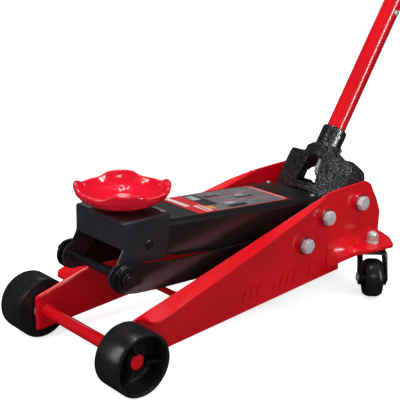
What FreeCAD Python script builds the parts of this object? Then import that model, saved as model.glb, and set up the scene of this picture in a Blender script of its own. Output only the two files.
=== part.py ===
import FreeCAD, Part
import math
import os
import Sketcher
from FreeCAD import Placement, Rotation, Vector

# Hydraulic floor jack, millimetres, +Z up.  X runs from the front axle (low X)
# to the operator at the handle (high X), Y is the width, Z = 0 is the floor.
# Left is -Y and right is +Y.  Pieces are drawn with the front axle at X = 0,
# and keep() shifts them so that X = 0 is the middle of the overall length.

DIMENSIONS = [
    ("origin_x", 503.735, "front axle to the middle of the overall length"),
    ("run_gap", 0.05, "radial running clearance"),
    # Side plates
    ("plate_thick", 5.0, "side plate sheet"),
    ("plate_in", 83.8, "side plate inner face from the middle"),
    ("plate_rise", 0.258, "slope of the side plate top edge"),
    ("plate_top", 77.0, "top edge line height at the front axle position"),
    ("flange_out", 121.0, "outer edge of the top flange from the middle"),
    ("flange_front", 37.0, "front end of the flange"),
    ("flange_rear", 430.0, "rear end of the flange"),
    ("ear_top", 88.0, "upper face of the caster ear"),
    ("ear_under", 83.0, "lower face of the caster ear"),
    ("ear_out", 142.0, "widest point of the ear from the middle"),
    ("emboss_high", 1.8, "height of the pressed bars"),
    ("boss_rad", 16.5, "raised boss at the pivots"),
    ("boss_high", 4.0, "height of the raised bosses"),
    # Front axle, wheels and brace
    ("wheel_rad", 45.8, "front wheel radius"),
    ("wheel_wide", 50.0, "front wheel width"),
    ("wheel_in", 92.8, "front wheel inner face from the middle"),
    ("wheel_rim", 6.0, "front wheel rim thickness"),
    ("wheel_hub", 14.5, "front wheel hub radius"),
    ("wheel_web", 20.0, "depth of the closed inner part of the wheel"),
    ("axle_rad", 10.75, "front axle radius"),
    ("axle_mid", 9.4, "front axle radius between the side plates"),
    ("axle_end", 128.5, "front axle end from the middle"),
    ("brace_x", 193.0, "cross brace position"),
    ("brace_z", 40.0, "cross brace height"),
    ("brace_rad", 5.0, "cross brace radius"),
    # Pivots and their bolts
    ("arm_x", 421.7, "lift arm pivot"),
    ("arm_z", 149.6, "lift arm pivot height"),
    ("link_x", 371.7, "link rear pivot"),
    ("link_z", 112.9, "link rear pivot height"),
    ("head_x", 79.0, "lift arm front pivot"),
    ("head_z", 173.1, "lift arm front pivot height"),
    ("rod_x", 29.0, "link front pivot"),
    ("rod_z", 136.4, "link front pivot height"),
    ("yoke_x", 509.0, "handle yoke pivot"),
    ("yoke_z", 157.6, "handle yoke pivot height"),
    ("bolt_rad", 7.0, "pivot bolt shank radius"),
    ("bolt_across", 21.0, "pivot bolt head across flats"),
    ("head_thick", 8.5, "pivot bolt head thickness"),
    ("washer_rad", 15.5, "pivot washer radius"),
    ("washer_thick", 2.0, "pivot washer thickness"),
    ("shaft_rad", 12.0, "arm pivot shaft radius"),
    # Lift arm, links, head and saddle
    ("arm_sheet", 5.0, "lift arm sheet"),
    ("arm_front_half", 50.0, "half width of the arm at its front"),
    ("arm_rear_half", 61.8, "half width of the arm at its rear"),
    ("rivet_x", 434.0, "arm rear rivet position"),
    ("rivet_y", 50.0, "arm rear rivet from the middle"),
    ("pin_rad", 8.0, "head upper pin and ram pin radius"),
    ("rod_rad", 7.0, "head cross rod radius"),
    ("link_thick", 5.0, "link bar"),
    ("link_in", 63.0, "link inner face from the middle"),
    ("head_half", 57.5, "half width of the saddle head"),
    ("head_sheet", 4.5, "saddle head sheet"),
    ("head_top", 214.0, "top of the saddle head"),
    ("saddle_x", 76.0, "saddle centre"),
    ("saddle_rim", 68.5, "saddle rim radius"),
    ("saddle_rise", 243.0, "saddle rim height"),
    ("saddle_floor", 222.0, "saddle floor height"),
    ("saddle_lug", 251.0, "top of the saddle lugs"),
    ("stem_rad", 12.0, "saddle stem radius"),
    # Yoke and handle
    ("handle_lean", 33.27, "handle lean from the vertical, degrees"),
    ("yoke_half", 72.0, "half width of the yoke"),
    ("socket_rad", 22.0, "yoke socket outer radius"),
    ("socket_top", 107.0, "yoke socket top along the handle"),
    ("socket_off", 26.2, "handle axis ahead of the yoke pivot"),
    ("roller_x", 12.4, "roller pin behind the yoke pivot, yoke frame"),
    ("roller_z", 10.1, "roller pin above the yoke pivot, yoke frame"),
    ("tube_rad", 16.5, "handle tube radius"),
    ("tube_wall", 2.5, "handle tube wall"),
    ("retainer_at", 79.0, "retaining bolt along the handle"),
    ("button_at", 340.0, "button along the handle"),
    ("joint_at", 372.0, "handle joint along the handle"),
    ("handle_top", 1000.0, "handle end along the handle"),
    ("grip_rad", 20.0, "grip radius"),
    ("grip_from", 838.0, "grip start along the handle"),
    # Casters
    ("caster_rad", 32.5, "caster wheel radius"),
    ("caster_half", 14.5, "caster wheel half width"),
    ("caster_x", 526.0, "caster stem position"),
    ("caster_y", 111.0, "caster stem from the middle"),
    ("caster_stem", 6.0, "caster stem radius"),
    ("caster_trail", 22.0, "caster trail"),
    ("caster_turn", 133.0, "rest angle of the caster trail, degrees"),
    ("fork_half", 23.5, "caster fork half width"),
    ("fork_sheet", 4.5, "caster fork sheet"),
    # Hydraulics
    ("ram_z", 91.5, "ram axis height"),
    ("ram_rod_rad", 17.0, "ram rod radius"),
    ("ram_bore", 22.0, "ram piston radius"),
    ("barrel_rad", 28.0, "ram barrel outer radius"),
    ("ram_pin_x", 435.6, "ram pin position"),
    ("ram_pin_z", 89.2, "ram pin height"),
    ("block_half", 52.0, "pump block half width"),
    ("block_front", 500.0, "pump block front"),
    ("block_rear", 568.0, "pump block rear"),
    ("block_top", 122.0, "pump block top"),
    ("block_base", 50.0, "pump block underside"),
    ("plunger_x", 525.0, "pump plunger position"),
    ("plunger_y", 40.0, "pump plunger from the middle"),
    ("plunger_top", 151.7, "pump plunger top"),
    ("plunger_rad", 8.0, "pump plunger radius"),
    ("valve_x", 510.0, "release valve position"),
    ("overload_x", 548.0, "overload valve plug position"),
    ("overload_y", -38.0, "overload valve plug from the middle"),
    ("filler_z", 106.0, "oil filler plug height"),
]

doc = FreeCAD.newDocument("floor_jack")
sheet = doc.addObject("Spreadsheet::Sheet", "Sheet")
for row, (alias, value, note) in enumerate(DIMENSIONS, 1):
    sheet.set("A%d" % row, alias)
    sheet.set("B%d" % row, str(value))
    sheet.set("C%d" % row, note)
    sheet.setAlias("B%d" % row, alias)
doc.recompute()


# ------------------------------------------------------------ sizes and binding
class Size:
    """A number together with the sheet expression that gives it."""

    def __init__(self, value, text):
        self.value = float(value)
        self.text = text

    def __add__(self, other):
        other = num(other)
        return Size(self.value + other.value, "(%s + %s)" % (self.text, other.text))

    def __radd__(self, other):
        return num(other) + self

    def __sub__(self, other):
        other = num(other)
        return Size(self.value - other.value, "(%s - %s)" % (self.text, other.text))

    def __rsub__(self, other):
        return num(other) - self

    def __mul__(self, other):
        other = num(other)
        return Size(self.value * other.value, "(%s * %s)" % (self.text, other.text))

    def __rmul__(self, other):
        return num(other) * self

    def __truediv__(self, other):
        other = num(other)
        return Size(self.value / other.value, "(%s / %s)" % (self.text, other.text))

    def __neg__(self):
        return Size(-self.value, "(0 - %s)" % self.text)


def num(x):
    return x if isinstance(x, Size) else Size(x, "%.6f" % float(x))


class Dimensions:
    """dim.some_alias is the Size of that sheet cell."""

    def __getattr__(self, name):
        return Size(getattr(sheet, name), "Sheet." + name)


dim = Dimensions()
pieces = []
name_count = [0]


def fresh(stem):
    name_count[0] += 1
    return "%s_%d" % (stem, name_count[0])


def tie(obj, path, size):
    """Binds a property path to the sheet when its size comes from there."""
    if "Sheet." in size.text:
        obj.setExpression(path, size.text)


def bind(obj, prop, size):
    size = num(size)
    setattr(obj, prop, size.value)
    tie(obj, prop, size)


def place(obj, base=(0, 0, 0), turn=None, angle=None):
    base = [num(k) for k in base]
    obj.Placement = Placement(Vector(*[k.value for k in base]), turn or Rotation())
    for axis, k in zip("xyz", base):
        tie(obj, "Placement.Base." + axis, k)
    if angle is not None:
        tie(obj, "Placement.Rotation.Angle", angle)


def keep(obj, label, base=(0, 0, 0), turn=None, angle=None):
    """Registers a finished piece and moves it to the common origin."""
    # A primitive's placement holds its own position, so it is wrapped first.
    if obj.TypeId in ("Part::Cylinder", "Part::Cone", "Part::Prism", "Part::Box"):
        obj = group(obj)
    obj.Label = label
    x, y, z = base
    place(obj, (num(x) - dim.origin_x, y, z), turn, angle)
    pieces.append(obj)


# ------------------------------------------------------------------- primitives
# Turns local +Z to the named direction.
DIRECTION = {
    "X": Rotation(Vector(0, 1, 0), 90),
    "Y": Rotation(Vector(1, 0, 0), -90),
    "-Y": Rotation(Vector(1, 0, 0), 90),
    "Z": Rotation(),
}


def cyl(radius, length, base=(0, 0, 0), axis="Z"):
    obj = doc.addObject("Part::Cylinder", fresh("Cyl"))
    bind(obj, "Radius", radius)
    bind(obj, "Height", length)
    place(obj, base, DIRECTION[axis])
    return obj


def cone(radius1, radius2, length, base, axis="Z"):
    obj = doc.addObject("Part::Cone", fresh("Cone"))
    bind(obj, "Radius1", radius1)
    bind(obj, "Radius2", radius2)
    bind(obj, "Height", length)
    place(obj, base, DIRECTION[axis])
    return obj


def box(x0, x1, y0, y1, z0, z1):
    obj = doc.addObject("Part::Box", fresh("Box"))
    bind(obj, "Length", num(x1) - x0)
    bind(obj, "Width", num(y1) - y0)
    bind(obj, "Height", num(z1) - z0)
    place(obj, (x0, y0, z0))
    return obj


def hexagon(across, length, base, axis="Z"):
    """Hexagonal prism from its size across flats."""
    obj = doc.addObject("Part::Prism", fresh("Hex"))
    obj.Polygon = 6
    bind(obj, "Circumradius", num(across) / math.sqrt(3))
    bind(obj, "Height", length)
    place(obj, base, DIRECTION[axis])
    return obj


def fuse(*objs):
    obj = doc.addObject("Part::MultiFuse", fresh("Fuse"))
    obj.Shapes = list(objs)
    obj.Refine = True
    return obj


def cut(base, *tools):
    """Takes the tools from the base, one after the other."""
    for tool in tools:
        obj = doc.addObject("Part::Cut", fresh("Cut"))
        obj.Base = base
        obj.Tool = tool
        obj.Refine = True
        base = obj
    return base


def group(*objs):
    obj = doc.addObject("Part::Compound", fresh("Group"))
    obj.Links = list(objs)
    return obj


def hex_head(across, wide, narrow, height, base, axis="Z"):
    """Hexagon trimmed by a cone, which rounds off its outer corners."""
    obj = doc.addObject("Part::MultiCommon", fresh("Common"))
    obj.Shapes = [
        hexagon(across, height, base, axis),
        cone(wide, narrow, height, base, axis),
    ]
    return obj


def tube(outer, inner, length, base=(0, 0, 0), axis="Z"):
    """Hollow round piece: outer cylinder less a longer inner one."""
    start = [num(k) for k in base]
    start["XYZ".index(axis)] -= 1
    return cut(cyl(outer, length, base, axis), cyl(inner, num(length) + 2, start, axis))


def band(side, near, far):
    """Low and high Y of a span given by its distances from the middle."""
    near, far = num(near), num(far)
    return (near, far) if side > 0 else (-far, -near)


def bar(radius, low, high, x, z):
    """Cylinder along Y between two Y stations."""
    return cyl(radius, num(high) - low, (x, low, z), "Y")


def sleeve(outer, inner, low, high, x, z):
    """Tube along Y between two Y stations."""
    return tube(outer, inner, num(high) - low, (x, low, z), "Y")


def both(make):
    """Compound of a left and a right copy."""
    return group(make(-1), make(1))


def sleeves(outer, inner, near, far, x, z):
    return both(lambda side: sleeve(outer, inner, *band(side, near, far), x, z))


# -------------------------------------------------------------- outline helpers
class Disc:
    """Circle to be drawn in a sketch."""

    def __init__(self, x, y, radius):
        self.x, self.y, self.radius = num(x), num(y), num(radius)


def arc_points(centre_x, centre_y, radius, start, end, steps):
    """Points on an arc, angles in degrees."""
    points = []
    for i in range(steps + 1):
        a = math.radians(start + (end - start) * i / steps)
        x = num(centre_x) + num(radius) * math.cos(a)
        points.append((x, num(centre_y) + num(radius) * math.sin(a)))
    return points


def mirror_first(points):
    """Closes a half outline with its mirror image in the first coordinate."""
    return points + [(-num(a), b) for a, b in reversed(points)]


def mirror_second(points):
    """Closes a half outline with its mirror image in the second coordinate."""
    return points + [(a, -num(b)) for a, b in reversed(points)]


def fix(sketch, kind, refs, size):
    index = sketch.addConstraint(Sketcher.Constraint(kind, *refs, size.value))
    tie(sketch, "Constraints[%d]" % index, size)


def draw_outline(sketch, points):
    """Closed polygon with every corner dimensioned from the origin."""
    first = sketch.GeometryCount
    points = [(num(a), num(b)) for a, b in points]
    total = len(points)
    corners = [Vector(a.value, b.value, 0) for a, b in points]
    for i in range(total):
        sketch.addGeometry(Part.LineSegment(corners[i], corners[(i + 1) % total]), False)
    for i in range(total):
        following = first + (i + 1) % total
        sketch.addConstraint(Sketcher.Constraint("Coincident", first + i, 2, following, 1))
    for i, (a, b) in enumerate(points):
        fix(sketch, "DistanceX", (-1, 1, first + i, 1), a)
        fix(sketch, "DistanceY", (-1, 1, first + i, 1), b)


def draw_disc(sketch, disc):
    index = sketch.GeometryCount
    centre = Vector(disc.x.value, disc.y.value, 0)
    sketch.addGeometry(Part.Circle(centre, Vector(0, 0, 1), disc.radius.value), False)
    fix(sketch, "DistanceX", (-1, 1, index, 3), disc.x)
    fix(sketch, "DistanceY", (-1, 1, index, 3), disc.y)
    fix(sketch, "Radius", (index,), disc.radius)


class Body:
    """PartDesign body whose sketches lie on its origin planes.

    Shapes are Discs or point lists: (y, z) for axis X, (x, z) for axis Y
    and (x, y) for axis Z.
    """

    PLANES = {"X": "YZ_Plane", "Y": "XZ_Plane", "Z": "XY_Plane"}

    def __init__(self, label):
        self.body = doc.addObject("PartDesign::Body", "Body_" + label)
        self.label = label
        self.last = None

    def keep(self, *frame):
        keep(self.body, self.label, *frame)

    def new(self, kind):
        return self.body.newObject("PartDesign::" + kind, fresh(kind))

    def origin(self, role):
        for feature in self.body.Origin.OriginFeatures:
            if feature.Role == role:
                return feature

    def sketch(self, axis, offset, shapes):
        sketch = self.body.newObject("Sketcher::SketchObject", fresh("Sketch"))
        sketch.AttachmentSupport = [(self.origin(self.PLANES[axis]), "")]
        sketch.MapMode = "FlatFace"
        offset = num(offset)
        sketch.AttachmentOffset = Placement(Vector(0, 0, offset.value), Rotation())
        tie(sketch, "AttachmentOffset.Base.z", offset)
        for shape in shapes:
            if isinstance(shape, Disc):
                draw_disc(sketch, shape)
            else:
                draw_outline(sketch, shape)
        return sketch

    def finish(self, feature, adds):
        """Makes the feature the tip and checks that it grew or cut the body."""
        before = self.last.Shape.Volume if self.last else 0.0
        self.body.Tip = feature
        doc.recompute()
        self.last = feature
        if (feature.Shape.Volume > before) != adds:
            raise RuntimeError("%s: %s has no effect" % (self.label, feature.Name))
        return feature

    def extrude(self, kind, axis, offset, length, shapes):
        sketch = self.sketch(axis, offset, shapes)
        feature = self.new(kind)
        feature.Profile = sketch
        bind(feature, "Length", length)
        return self.finish(feature, kind == "Pad")

    # Both run between two stations on an axis.  The XZ plane faces -Y, so
    # along Y the sketch sits at the opposite station and its offset is negated.
    def pad(self, axis, low, high, *shapes):
        offset = -num(high) if axis == "Y" else low
        return self.extrude("Pad", axis, offset, num(high) - low, shapes)

    def cut(self, axis, low, high, *shapes):
        offset = -num(low) if axis == "Y" else high
        return self.extrude("Pocket", axis, offset, num(high) - low, shapes)

    def loft(self, stations, adds=True):
        """Ruled loft through YZ sections: [(x, [(y, z), ...]), ...]."""
        sketches = [self.sketch("X", x, [points]) for x, points in stations]
        feature = self.new("AdditiveLoft" if adds else "SubtractiveLoft")
        feature.Profile = sketches[0]
        feature.Sections = sketches[1:]
        feature.Ruled = True
        self.finish(feature, adds)

    def revolve(self, outline, adds=True):
        """Turns a (radius, z) outline about the body's own Z axis."""
        sketch = self.sketch("Y", 0, [outline])
        feature = self.new("Revolution" if adds else "Groove")
        feature.Profile = sketch
        feature.ReferenceAxis = (sketch, ["V_Axis"])
        feature.Angle = 360.0
        self.finish(feature, adds)

    def polar(self, original, number):
        feature = self.new("PolarPattern")
        feature.Originals = [original]
        feature.Axis = (self.origin("Z_Axis"), [""])
        feature.Angle = 360.0
        feature.Occurrences = number
        self.finish(feature, True)

    def fillet(self, points, radius):
        """Rounds the edges nearest to the given points."""
        edges = self.last.Shape.Edges
        names = []
        for point in points:
            vertex = Part.Vertex(*[num(k).value for k in point])
            best = min(range(len(edges)), key=lambda i: edges[i].distToShape(vertex)[0])
            name = "Edge%d" % (best + 1)
            if name not in names:
                names.append(name)
        feature = self.new("Fillet")
        feature.Base = (self.last, names)
        bind(feature, "Radius", radius)
        self.body.Tip = feature
        doc.recompute()
        shape = feature.Shape
        failed = "Invalid" in feature.State or "Error" in feature.State
        if failed or shape.isNull() or not shape.isValid() or len(shape.Solids) != 1:
            # Guards an edge that cannot take this radius: it is left sharp.
            self.body.removeObject(feature)
            doc.removeObject(feature.Name)
            self.body.Tip = self.last
            doc.recompute()
            return
        self.last = feature


# ------------------------------------------------------------------ side plates
plate_out = dim.plate_in + dim.plate_thick
boss_out = plate_out + dim.boss_high
PIVOTS = ((dim.arm_x, dim.arm_z), (dim.link_x, dim.link_z), (dim.yoke_x, dim.yoke_z))
BAR_SLOPE = 0.0531
BAR_PITCH = 15.5
BAR_GROUPS = ((236.0, 3), (303.0, 4), (385.5, 1))  # first bar x, number of bars


def top_z(x):
    """Height of the side plate's sloping top edge."""
    return dim.plate_top + dim.plate_rise * num(x)


def add_web(body, side):
    low, high = band(side, dim.plate_in, plate_out)
    middle = (low + high) * 0.5
    front, front_z, crease = -18.5, 17.0, 421.0
    outline = [  # (x, z)
        (front, front_z), (430.0, 45.2), (560.0, 52.1), (570.0, 70.0), (571.0, 94.0),
        (571.5, 129.5), (559.0, 155.0), (548.0, 171.0), (540.0, 184.0), (527.0, 191.0),
        (478.0, 189.5), (437.0, 188.0), (crease, top_z(crease)), (front, top_z(front)),
    ]
    body.pad("Y", low, high, outline)
    body.fillet([(front, middle, top_z(front))], 7.0)
    body.fillet([(front, middle, front_z)], 4.0)
    body.fillet([(527.0, middle, 191.0), (540.0, middle, 184.0)], 8.0)
    body.fillet([(571.5, middle, 129.5)], 10.0)
    # Room under the ear for the caster to turn right round.
    room = [(466.0, 30.0), (600.0, 30.0), (600.0, 84.0), (486.0, 84.0), (466.0, 62.0)]
    body.cut("Y", low - 1, high + 1, room)


def add_flange(body, side):
    """Top flange folded outwards, its outer edge running in towards the rear."""
    front, rear, out = dim.flange_front, dim.flange_rear, dim.flange_out
    outline = [
        (front, top_z(front)), (rear, top_z(rear)),
        (rear, top_z(rear) - dim.plate_thick), (front, top_z(front) - dim.plate_thick),
    ]
    body.pad("Y", *band(side, dim.plate_in, out), outline)
    body.fillet([(front, out * side, top_z(front) - 2.5)], 13.0)
    body.fillet([(front, plate_out * side, top_z(front) - 2.5)], 9.0)
    trim = [  # (x, distance from the middle)
        (50.0, out + 2), (50.0, out + 0.5), (103.0, out - 2.2), (232.0, out - 8.0),
        (331.0, out - 15.0), (387.0, out - 21.5), (412.0, out - 28.0),
        (421.0, plate_out + 0.2), (436.0, plate_out + 0.2), (436.0, out + 2),
    ]
    body.cut("Z", 60.0, 200.0, [(x, y * side) for x, y in trim])
    # Outside and inside of the fold.
    body.fillet([(200.0, dim.plate_in * side, top_z(200.0))], 4.0)
    body.fillet([(200.0, plate_out * side, top_z(200.0) - dim.plate_thick)], 3.5)


def add_ear(body, side):
    """Flare in which the sheet swells out of the web into the caster ear."""
    inner, under, top = dim.plate_in, dim.ear_under, dim.ear_top
    swell = plate_out + 2.2
    sections = [  # x, (distance from the middle, z)
        (432.0, [(inner, 54.0), (swell, 57.0), (swell, 65.0), (swell, 92.0), (inner, 108.0)]),
        (478.0, [(inner, 77.0), (119.0, 78.5), (119.0, 86.0), (101.0, 92.0), (inner, 112.0)]),
        (493.0, [(inner, under), (134.0, under), (134.0, top), (103.0, top + 1),
                 (inner, 113.0)]),
        (545.0, [(inner, under), (dim.ear_out, under), (dim.ear_out, top),
                 (101.0, top + 0.6), (inner, 112.0)]),
        (571.0, [(inner, under), (114.0, under), (114.0, top), (99.0, top + 0.4),
                 (inner, 97.0)]),
        (582.0, [(inner, under), (91.0, under), (91.0, top), (89.0, top + 0.2),
                 (inner, top + 1)]),
    ]
    body.loft([(x, [(num(y) * side, z) for y, z in points]) for x, points in sections])
    body.fillet([(545.0, dim.ear_out * side, 85.5)], 12.0)
    body.fillet([(493.0, 134.0 * side, 85.5)], 9.0)


def pressed_bars():
    """Outlines of the slanting bars, (x, z), that follow the web's lower edge."""
    wide, high, slant = 9.0, 19.0, 6.0
    outlines = []
    for start, number in BAR_GROUPS:
        for i in range(number):
            x = start + BAR_PITCH * i
            z = 50.0 + BAR_SLOPE * (x - 232.0)
            rise = BAR_SLOPE * wide
            outlines.append([
                (x, z), (x + wide, z + rise),
                (x + wide + slant, z + high + rise), (x + slant, z + high),
            ])
    return outlines


def side_plate(label, side):
    """Pressed side plate: web, top flange, flared caster ear, raised bosses."""
    body = Body(label)
    add_web(body, side)
    add_flange(body, side)
    add_ear(body, side)
    bosses = [Disc(x, z, dim.boss_rad) for x, z in PIVOTS]
    body.pad("Y", *band(side, plate_out - 1, boss_out), *bosses)
    for x, z in PIVOTS:
        body.fillet([(x, boss_out * side, z - dim.boss_rad)], 1.5)
    body.pad("Y", *band(side, plate_out - 1, plate_out + dim.emboss_high), *pressed_bars())
    body.cut(
        "Y", *band(side, dim.plate_in - 5, plate_out + 20),
        Disc(0.0, dim.wheel_rad, dim.axle_rad + dim.run_gap),
        Disc(dim.brace_x, dim.brace_z, dim.brace_rad + dim.run_gap),
        *[Disc(x, z, dim.bolt_rad + dim.run_gap) for x, z in PIVOTS],
    )
    caster_y = dim.caster_y * side
    body.cut("Z", 70.0, 100.0, Disc(dim.caster_x, caster_y, dim.caster_stem + dim.run_gap))
    # Spot face that seats the caster nut.
    body.cut("Z", dim.ear_top, 116.0, Disc(dim.caster_x, caster_y, 11.4))
    body.keep()


# -------------------------------------------------------- front axle and wheels
def front_axle():
    def round_bar(radius, low, high):
        return bar(radius, low, high, 0, dim.wheel_rad)

    journals = [round_bar(dim.axle_rad, *band(side, 80.5, dim.axle_end)) for side in (-1, 1)]
    axle = fuse(*journals, round_bar(dim.axle_mid, -84.0, 84.0))
    for side in (-1, 1):
        low, high = band(side, 124.6, 126.2)
        groove = sleeve(dim.axle_rad + 1, dim.axle_rad - 1.2, low, high, 0, dim.wheel_rad)
        axle = cut(axle, groove)
    keep(axle, "front_axle")
    rings = sleeves(13.0, dim.axle_rad - 1.15, 124.65, 126.15, 0, dim.wheel_rad)
    keep(rings, "axle_retaining_rings")
    washers = sleeves(
        18.0, dim.axle_rad + dim.run_gap, plate_out + 0.05, dim.wheel_in - 0.1,
        0, dim.wheel_rad,
    )
    keep(washers, "wheel_washers")


def front_wheel(label, side, rib_angle):
    """Cast wheel, hollow outside, hub and three ribs; local +Z points outboard."""
    body = Body(label)
    rad, wide, web, hub = dim.wheel_rad, dim.wheel_wide, dim.wheel_web, dim.wheel_hub
    rim_in = rad - dim.wheel_rim
    bore = dim.axle_rad + dim.run_gap
    hub_end = 31.6
    body.revolve([
        (bore, 0), (rad - 3, 0), (rad, 2.5), (rad, wide - 2.5), (rad - 1.6, wide),
        (rim_in + 0.6, wide), (rim_in - 0.6, wide - 2), (rim_in - 1.6, web + 3),
        (rim_in - 4, web), (hub + 2.5, web), (hub, web + 3), (hub - 0.6, hub_end),
        (bore, hub_end),
    ])
    rib = [(hub - 1, -2.0), (rim_in + 1, -1.7), (rim_in + 1, 1.7), (hub - 1, 2.0)]
    body.polar(body.pad("Z", web - 1, wide - 9, rib), 3)
    body.fillet([(rad, 0, 2.5)], 1.5)
    outboard = DIRECTION["-Y" if side < 0 else "Y"]
    turn = outboard.multiply(Rotation(Vector(0, 0, 1), rib_angle))
    body.keep((0, dim.wheel_in * side, rad), turn)


def cross_brace():
    brace = bar(dim.brace_rad, -plate_out, plate_out, dim.brace_x, dim.brace_z)
    keep(brace, "cross_brace")


# -------------------------------------------------------------- pivot fasteners
bolt_face = boss_out + dim.washer_thick


def pivot_bolts(label, x, z, inner):
    """Hexagon bolts with heads outboard and shanks reaching in to inner."""

    def bolt(side):
        axis = "Y" if side > 0 else "-Y"
        seat = (x, bolt_face * side, z)
        head = hex_head(dim.bolt_across, 25.5, 10.7, dim.head_thick, seat, axis)
        return fuse(head, bar(dim.bolt_rad, *band(side, inner, bolt_face + 1), x, z))

    keep(both(bolt), label)


def pivot_fasteners():
    pivot_bolts("arm_pivot_bolts", dim.arm_x, dim.arm_z, 64.0)
    pivot_bolts("link_pivot_bolts", dim.link_x, dim.link_z, 62.95)
    pivot_bolts("yoke_pivot_bolts", dim.yoke_x, dim.yoke_z, 56.5)
    washers = [
        sleeves(dim.washer_rad, dim.bolt_rad + 0.2, boss_out, bolt_face, x, z)
        for x, z in PIVOTS
    ]
    keep(group(*washers), "pivot_washers")
    bore = dim.bolt_rad + 0.05
    keep(group(
        sleeves(14.0, bore, 68.1, 83.75, dim.link_x, dim.link_z),
        sleeves(13.5, bore, dim.yoke_half + 0.1, 83.75, dim.yoke_x, dim.yoke_z),
    ), "pivot_spacers")


def arm_pivot_shaft():
    """Shaft between the side plates, bored at both ends for the bolts."""
    shaft = bar(dim.shaft_rad, -83.7, 83.7, dim.arm_x, dim.arm_z)
    for side in (-1, 1):
        low, high = band(side, 63.9, 84.7)
        shaft = cut(shaft, bar(dim.bolt_rad + 0.05, low, high, dim.arm_x, dim.arm_z))
    keep(shaft, "arm_pivot_shaft")


# --------------------------------------------------------------------- lift arm
ARM_SLOPE = 0.077  # fall of the arm's top towards the rear


def arm_half(x):
    spread = dim.arm_rear_half - dim.arm_front_half
    return dim.arm_front_half + spread * ((x - 50.0) / 400.0)


def arm_top(x):
    return 197.5 - ARM_SLOPE * (x - 125.0)


def arm_outer(x):
    half, top, corner = arm_half(x), arm_top(x), 9.0
    rounded = arc_points(half - corner, top - corner, corner, 0.0, 90.0, 4)
    return [(-half, 70.0), (half, 70.0)] + mirror_first(rounded)


def arm_inner(x):
    half = arm_half(x) - dim.arm_sheet
    top = arm_top(x) - dim.arm_sheet
    bevel = 4.0
    corner = [(half, top - bevel), (half - bevel, top)]
    return [(-half, 60.0), (half, 60.0)] + mirror_first(corner)


def lift_arm():
    """Tapered inverted channel with pivot tube, ram lugs and front ears."""
    body = Body("lift_arm")
    front, rear = 44.0, 442.0
    body.loft([(x, arm_outer(x)) for x in (front, rear)])
    body.loft([(x, arm_inner(x)) for x in (front - 5.0, rear + 5.0)], False)
    # Side view (x, z): all below the lower edge goes, then the nose is rounded.
    below = [
        (20.0, 50.0), (470.0, 50.0), (470.0, 158.0), (444.0, 158.0), (437.0, 137.0),
        (428.0, 131.5), (410.0, 131.0), (380.0, 130.0), (306.0, 130.0), (204.0, 134.0),
        (130.0, 143.0), (102.0, 151.0),
    ]
    below += arc_points(dim.head_x, dim.head_z, 27.0, -52.0, -200.0, 8)
    below += [(50.0, 220.0), (20.0, 220.0)]
    body.cut("Y", -75.0, 75.0, below)
    nose = [(20.0, 230.0), (20.0, 150.0)]
    nose += arc_points(dim.head_x, dim.head_z, 31.0, 205.0, 112.0, 7)
    nose += [(66.0, 230.0)]
    body.cut("Y", -75.0, 75.0, nose)
    body.pad("Y", -80.0, 80.0, Disc(dim.arm_x, dim.arm_z, 19.0))
    ram_lug = [  # (x, z)
        (406.0, 150.0), (437.0, 153.0), (444.0, 118.0), (449.4, 92.0), (444.5, 78.5),
        (435.6, 75.4), (426.0, 79.0), (421.6, 91.0), (409.0, 132.0),
    ]
    for side in (1, -1):
        body.pad("Y", *band(side, 26.0, 34.0), ram_lug)
    for bore in (
        Disc(dim.arm_x, dim.arm_z, dim.shaft_rad + dim.run_gap),
        Disc(dim.head_x, dim.head_z, dim.pin_rad + dim.run_gap),
        Disc(dim.ram_pin_x, dim.ram_pin_z, dim.pin_rad + 0.02),
    ):
        body.cut("Y", -90.0, 90.0, bore)
    rivet_holes = [Disc(dim.rivet_x, dim.rivet_y * side, 3.25) for side in (-1, 1)]
    body.cut("Z", 150.0, 180.0, *rivet_holes)
    body.keep()


def arm_label():
    """Thin printed plate lying on the arm's sloping top."""
    slope = Rotation(Vector(0, 1, 0), math.degrees(math.atan(ARM_SLOPE)))
    keep(box(0, 199.0, 0, 92.0, 0, 0.4), "arm_label", (183.0, -46.0, 193.09), slope)


def arm_pins():
    keep(bar(dim.pin_rad, -44.5, 44.5, dim.ram_pin_x, dim.ram_pin_z), "ram_pin")
    rivets = both(lambda side: cyl(3.2, 8.0, (dim.rivet_x, dim.rivet_y * side, 167.4)))
    keep(rivets, "arm_rear_rivets")


# -------------------------------------------------------- saddle head and links
def saddle_head():
    """Folded head bracket that keeps the saddle level at the arm's front."""
    body = Body("saddle_head")
    half, top = dim.head_half, dim.head_top
    outline = [  # (x, z)
        (34.0, top), (34.0, 175.0), (17.0, 144.0), (17.0, 132.0), (29.0, 120.0),
        (42.0, 128.0), (64.0, 149.6), (106.0, 146.0), (114.0, 173.5), (115.0, top - 2),
        (113.0, top),
    ]
    body.pad("Y", -half, half, outline)
    body.pad("Y", -half, half, Disc(dim.rod_x, dim.rod_z, 20.0))
    body.fillet([(106.0, 0, 146.0), (114.0, 0, 173.5)], 4.0)
    body.fillet([(64.0, 0, 149.6)], 12.0)
    body.fillet([(34.0, 0, 175.0)], 10.0)
    body.fillet([
        (34.0, 0, top), (70.0, half, top), (70.0, -half, top),
        (34.0, half, 195.0), (34.0, -half, 195.0),
    ], 4.0)
    inner = half - dim.head_sheet
    ceiling = top - 4.0
    hollow = [
        (38.5, ceiling), (200.0, ceiling), (200.0, 100.0), (-10.0, 100.0),
        (-10.0, 174.0), (38.5, 174.0),
    ]
    body.cut("Y", -inner, inner, hollow)
    body.cut("Y", -90.0, 90.0, Disc(dim.head_x, dim.head_z, dim.pin_rad + 0.02))
    body.cut("Y", -90.0, 90.0, Disc(dim.rod_x, dim.rod_z, dim.rod_rad + 0.02))
    body.cut("Z", 200.0, 220.0, Disc(dim.saddle_x, 0.0, dim.stem_rad + dim.run_gap))
    body.keep()


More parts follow.
